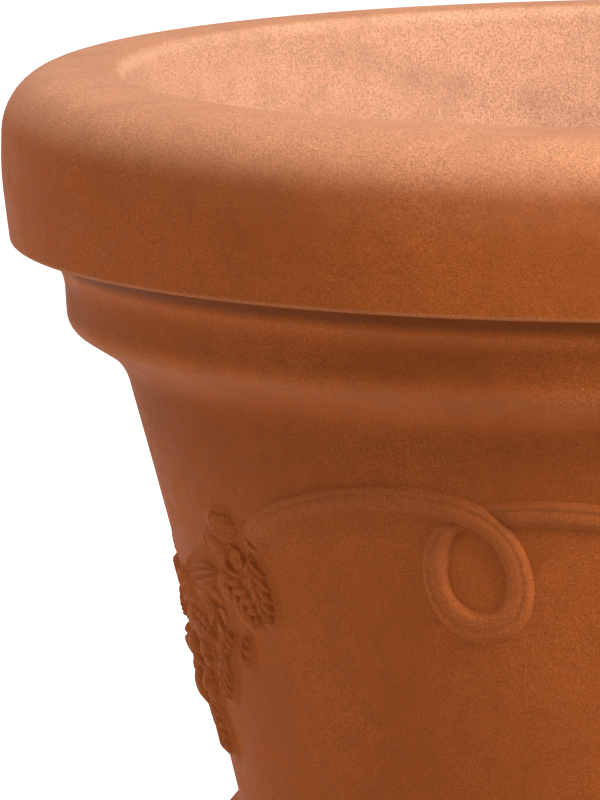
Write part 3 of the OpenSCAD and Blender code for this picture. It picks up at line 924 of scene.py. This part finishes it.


# %% [markdown]
# The plastic is coloured through and has a fine stone-like grain from the mould. Its pale places are told from
# the others by the pot's own shape: how high a place is, how far from the axis, and which way its face looks.
# Faces that look up are paler, with dust and a painted sheen of the light from above, a little more on the lit
# side than on the other, and the upward faces of the ogee carry a painted highlight. The inside of the mouth is
# painted paler, as if strongly lit. All of it is broken up by a slow noise. In a finish, places are in metres.

# %% Pale places on the plastic
# Direction that the dust and the painted sheen come from, tilted towards the lit side
dust_and_light_from = (0.14, -0.16, 1.0)
plastic, tree, shader = new_material("terracotta_plastic")
where = tree.nodes.new("ShaderNodeTexCoord")
place, looks = where.outputs["Object"], where.outputs["Normal"]
height = upright_part(place)
up = vector_calc("DOT_PRODUCT", looks, dust_and_light_from)
flat_place = vector_calc("MULTIPLY", place, (1.0, 1.0, 0.0), "Vector")
radius = vector_calc("LENGTH", flat_place)
outward = vector_calc("DOT_PRODUCT", vector_calc("NORMALIZE", flat_place, result="Vector"), looks)
# The inside of the mouth, which is painted paler, as if strongly lit
in_mouth = times(ramp(outward, -0.15, -0.75), ramp(height, 0.25, 0.36))
# Painted sheen of the light from above on faces that look up, with some dust
dust_and_sheen_on_top = times(ramp(up, 0.04, 0.98), ramp(height, 0.36, 0.4))
# Painted highlight on the upward faces of the ogee
highlight_on_ledge = times(ramp(up, 0.2, 0.8, 0.0, 0.32), ramp(height, 0.28, 0.3))
patches = noise(place, 14.0, 4.0, 0.6)
pale = calc("MAXIMUM", calc("MAXIMUM", dust_and_sheen_on_top, highlight_on_ledge), in_mouth)
pale = times(pale, ramp(patches, 0.2, 0.5, 0.86, 1.0))
# A place where painted light is added to the pale share, used by the ribbons' copy
pale = plus(pale, 0.0)
pale.node.name = "pale_by_dust_and_light"
print("nodes for the pale places", len(tree.nodes))

# %% [markdown]
# The colours are laid over one another: the plastic's own colour, the places paled by dust and by painted
# light, pale specks of filler, and a painted highlight: a hair line along the rim's lower edge, where it
# catches the light.

# %% Colour of the plastic
clay = from_srgb(153, 78, 32)
dust_and_sheen_colour = from_srgb(215, 147, 108)
# Painted light: the inside of the mouth is coloured paler, as if strongly lit
painted_light_mouth = from_srgb(233, 172, 136)
speck_and_highlight_colour = from_srgb(236, 178, 140)
base = mixed(pale, clay, mixed(in_mouth, dust_and_sheen_colour, painted_light_mouth))
specks = noise(place, 1300.0, 0.0, 0.5)
speck_share = times(ramp(specks, 0.62, 0.85), ramp(patches, 0.3, 0.7, 0.02, 0.12))
base = mixed(speck_share, base, speck_and_highlight_colour)
# Painted highlight: a hair line of pale colour where the rim's lower edge catches the light
edge_highlight_lower, edge_highlight_upper = (0.3538, 0.3546), (0.3562, 0.3554)
painted_edge_highlight = times(ramp(height, *edge_highlight_lower), ramp(height, *edge_highlight_upper))
painted_edge_highlight = times(painted_edge_highlight, ramp(radius, 0.292, 0.295, 0.0, 0.1))
base = mixed(painted_edge_highlight, base, speck_and_highlight_colour)
print("nodes with the colours", len(tree.nodes))

# %% [markdown]
# The colour is lightened and darkened in three sizes: by a few hundredths in patches as wide as a hand and in
# blotches as wide as a fingernail, and by more in a grain of about a millimetre, most of all where the plastic
# is pale.

# %% Grain of the plastic
blotches = noise(place, 90.0, 3.0, 0.6)
grain = noise(place, 1100.0, 1.0, 0.5)
lightness = plus(ramp(patches, 0.3, 0.7, -0.05, 0.05), ramp(blotches, 0.3, 0.7, -0.05, 0.05))
grain_share = times(ramp(patches, 0.35, 0.65, 0.8, 1.5), plus(times(pale, 0.25), 0.75))
lightness = plus(plus(lightness, times(minus(grain, 0.5), grain_share)), 1.0)
print("nodes with the grain", len(tree.nodes))

# %% [markdown]
# Down the neck the tone is painted with the height, as light and shade: painted shade deep in the hollow under the
# rim, painted light on the swell of the neck and on the ogee below it, and a little painted shade again at the top
# of the wall, under the ogee. A colour ramp holds these tones as pairs of height and share. A share above 1
# paints light, mixed towards a pale dusty colour, and one below 1 paints shade.

# %% Painted light and shade down the neck
tone_low, tone_high, tone_most = 0.23, 0.36, 1.4
painted_tones = (
    (0.240, 1.00), (0.265, 0.88), (0.290, 0.83), (0.298, 0.90), (0.302, 1.02), (0.308, 1.16), (0.312, 1.26),
    (0.316, 1.26), (0.3195, 1.12), (0.3225, 0.99), (0.326, 0.85), (0.332, 0.90), (0.337, 0.96), (0.3405, 1.08),
    (0.343, 1.15), (0.3445, 0.98), (0.3465, 0.70), (0.3485, 0.50), (0.353, 0.45), (0.3542, 1.00),
)
painted_tone = tree.nodes.new("ShaderNodeValToRGB")
stops = painted_tone.color_ramp.elements
while len(stops) < len(painted_tones):
    stops.new(0.5)
for stop, (z, share) in zip(stops, painted_tones):
    stop.position = (z - tone_low) / (tone_high - tone_low)
    stop.color = (share / tone_most, share / tone_most, share / tone_most, 1)
feed(painted_tone.inputs[0], calc("DIVIDE", minus(height, tone_low), tone_high - tone_low))
painted_light_and_shade = minus(times(painted_tone.outputs[0], tone_most), 1.0)
outside = ramp(outward, -0.3, 0.0)
painted_light_share = times(times(calc("MAXIMUM", painted_light_and_shade, 0.0), 0.35), outside)
# Painted light on the swell of the neck and on the ogee, in a pale dusty colour
base = mixed(painted_light_share, base, from_srgb(214, 150, 112))
# Painted shade in the hollow under the rim, on the neck and at the top of the wall
lightness = times(lightness, plus(1.0, times(calc("MINIMUM", painted_light_and_shade, 0.06), outside)))
print("tones down the neck", len(stops))

# %% [markdown]
# On the far inner wall a soft, slanting darker band is painted: the shadow that falls there. It is painted shade
# and not a shape: a slanting plane through the mouth, its edge made wavy by the slow noise.

# %% Painted shadow in the mouth
shadow_slant, shadow_at = (0.278, 0.112, 1.0), 0.3723
shadow_wavy, shadow_deep = 0.016, 0.09
slanting = plus(vector_calc("DOT_PRODUCT", place, shadow_slant), times(patches, shadow_wavy))
# Painted shadow: a darker band on the inner wall along the slanting plane
painted_shadow_band = times(ramp(calc("ABSOLUTE", minus(slanting, shadow_at)), 0.012, 0.001), in_mouth)
lightness = times(lightness, minus(1.0, times(painted_shadow_band, shadow_deep)))
print("nodes with the flow mark", len(tree.nodes))

# %% Finish the plastic
tint = tree.nodes.new("ShaderNodeCombineColor")
for channel in range(3):
    feed(tint.inputs[channel], lightness)
feed(shader.inputs["Base Color"], mixed(1.0, base, tint.outputs[0], "MULTIPLY"))
feed(shader.inputs["Roughness"], ramp(blotches, 0.3, 0.7, 0.55, 0.68))
feed(shader.inputs["Specular IOR Level"], 0.04)
bumped(shader, plus(grain, times(blotches, 1.5)), 0.6, 0.0003)
print("terracotta_plastic", len(tree.nodes), "nodes")

# %% [markdown]
# The ribbons stand proud of the wall and catch more light, which is painted: they take a copy of the same
# finish, a little paler, with one number changed.

# %% Plastic of the ribbons
# Painted light: the ribbons' copy of the finish is paler, as if more brightly lit
ribbon_painted_light = 0.04
ribbon_plastic = plastic.copy()
ribbon_plastic.name = "terracotta_ribbon"
ribbon_plastic.node_tree.nodes["pale_by_dust_and_light"].inputs[1].default_value = ribbon_painted_light
print(ribbon_plastic.name, "paler by", ribbon_painted_light)

# %% [markdown]
# The plugs are soft black-grey rubber: dull, nearly even in colour, with a bloom of fine specks.

# %% Plug rubber
rubber, tree, shader = new_material("plug_rubber")
specks = noise(tree.nodes.new("ShaderNodeTexCoord").outputs["Object"], 900.0)
feed(shader.inputs["Base Color"], mixed(specks, (0.018, 0.017, 0.016, 1), (0.03, 0.029, 0.028, 1)))
feed(shader.inputs["Roughness"], ramp(specks, 0.3, 0.7, 0.5, 0.65))
bumped(shader, specks, 0.3, 0.0002)
print("plug_rubber", len(tree.nodes), "nodes")

# %% Give each piece its finish
for finish, pieces in ((plastic, [skin] + garlands), (ribbon_plastic, ribbons), (rubber, plugs)):
    for piece in pieces:
        piece.data.materials.clear()
        piece.data.materials.append(finish)
    print(finish.name, "on", [piece.name for piece in pieces])

# %% [markdown]
# ## Room, light and camera
# A wide pale floor carries the pot. It throws light up under the rim. To the camera and in reflections it
# looks white through the light path, and it still takes the pot's shadow. It could be lit to white instead,
# but then the pot would be lit too strongly as well.

# %% Helpers for the room
def plain_shader(tree, kind, **values):
    """The output of a shader node whose inputs are set by name."""
    n = tree.nodes.new(kind)
    for name, value in values.items():
        feed(n.inputs[name], value)
    return n.outputs[0]


def as_seen(tree, unseen, seen):
    """One shader for the light that falls on the pot, and another for what the camera and reflections see."""
    path = tree.nodes.new("ShaderNodeLightPath").outputs
    n = tree.nodes.new("ShaderNodeMixShader")
    straight = calc("MAXIMUM", path["Is Camera Ray"], path["Is Glossy Ray"])
    feed(n.inputs[0], calc("MAXIMUM", straight, path["Is Transmission Ray"]))
    feed(n.inputs[1], unseen)
    feed(n.inputs[2], seen)
    return n.outputs[0]


# %% Floor
floor_half = 80.0
floor_z = -0.0002
around = [(-floor_half, -floor_half, floor_z), (floor_half, -floor_half, floor_z),
          (floor_half, floor_half, floor_z), (-floor_half, floor_half, floor_z)]
floor_mesh = bpy.data.meshes.new("floor")
floor_mesh.from_pydata(around, [], [(0, 1, 2, 3)])
floor = bpy.data.objects.new("floor", floor_mesh)
bpy.context.scene.collection.objects.link(floor)
paper = bpy.data.materials.new("floor_paper")
paper.use_nodes = True
tree = paper.node_tree
tree.nodes.clear()
out = tree.nodes.new("ShaderNodeOutputMaterial")
lifted = tree.nodes.new("ShaderNodeAddShader")
feed(lifted.inputs[0], plain_shader(tree, "ShaderNodeBsdfDiffuse", Color=(0.8, 0.8, 0.8, 1)))
feed(lifted.inputs[1], plain_shader(tree, "ShaderNodeEmission", Strength=0.8))
dull = plain_shader(tree, "ShaderNodeBsdfDiffuse", Color=(0.75, 0.75, 0.75, 1))
feed(out.inputs["Surface"], as_seen(tree, dull, lifted.outputs[0]))
floor_mesh.materials.append(paper)
print("floor", 2 * floor_half, "m wide")

# %% [markdown]
# A soft key light from the right grazes the front and brings out the relief. A weaker one low on the left
# fills its shadows, a faint one behind on the left draws the far edge, and a broad one overhead, as faint as
# an overcast sky through a window, lights the rim and the ogee.

# %% Lamps
def soft_box(name, watts, turn, lift, away=3.4, size=1.2):
    """A round soft lamp that looks at the pot's middle, turned to the right of the front and lifted, in degrees."""
    a, e = math.radians(turn), math.radians(lift)
    middle = Vector((0, 0, 0.25))
    lamp = bpy.data.objects.new(name, bpy.data.lights.new(name, "AREA"))
    lamp.data.shape = "DISK"
    lamp.data.size = size
    lamp.data.energy = watts
    lamp.location = middle + away * Vector((math.cos(e) * math.sin(a), -math.cos(e) * math.cos(a), math.sin(e)))
    lamp.rotation_euler = (middle - lamp.location).to_track_quat("-Z", "Y").to_euler()
    lamp.visible_camera = False
    bpy.context.scene.collection.objects.link(lamp)
    print(name, "at", [round(v, 2) for v in lamp.location])


soft_box("key", 118, 66, 32)
soft_box("fill", 25, -62, 4)
soft_box("edge", 16, -125, 50)
overhead = bpy.data.objects.new("overhead", bpy.data.lights.new("overhead", "SUN"))
overhead.data.energy = 0.4
overhead.data.angle = math.radians(80)
overhead.rotation_euler = Vector((-0.46, -0.19, 0.87)).to_track_quat("Z", "Y").to_euler()
bpy.context.scene.collection.objects.link(overhead)

# %% The world round the pot
room_light = 0.28
world = bpy.data.worlds.new("studio")
bpy.context.scene.world = world
world.use_nodes = True
tree = world.node_tree
tree.nodes.clear()
out = tree.nodes.new("ShaderNodeOutputWorld")
light = plain_shader(tree, "ShaderNodeBackground", Color=(1, 1, 1, 1), Strength=room_light)
white = plain_shader(tree, "ShaderNodeBackground", Color=(1, 1, 1, 1), Strength=1.0)
feed(out.inputs["Surface"], as_seen(tree, light, white))
print("room light", room_light)

# %% [markdown]
# The photo is a close view taken with a long lens: the camera stands about four metres off, a little above the
# rim, and turned 22 degrees to the right of the front. It looks slightly past the pot's middle and was held
# half a degree off the level.

# %% Camera
camera = bpy.data.objects.new("camera", bpy.data.cameras.new("camera"))
camera.data.sensor_width = 36
camera.data.lens = 407.2
camera.data.clip_end = 300
camera_turn, camera_dip, camera_roll = math.radians(21.9), math.radians(9.697), -0.0089
camera_away, camera_up = 3.9836, 0.8708
look_left, look_up = 0.04185, 0.02170
camera.location = (camera_away * math.sin(camera_turn), -camera_away * math.cos(camera_turn), camera_up)
to_axis = Vector((-math.sin(camera_turn), math.cos(camera_turn), 0))
forward = to_axis * math.cos(camera_dip) - Vector((0, 0, math.sin(camera_dip)))
right = forward.cross(Vector((0, 0, 1))).normalized()
upward = right.cross(forward)
level = (forward - look_left * right + look_up * upward).to_track_quat("-Z", "Y")
camera.rotation_euler = (level @ Quaternion((0, 0, 1), camera_roll)).to_euler()
bpy.context.scene.collection.objects.link(camera)
bpy.context.scene.camera = camera
bpy.context.scene.view_settings.view_transform = "Standard"
print("camera at", [round(v, 3) for v in camera.location])
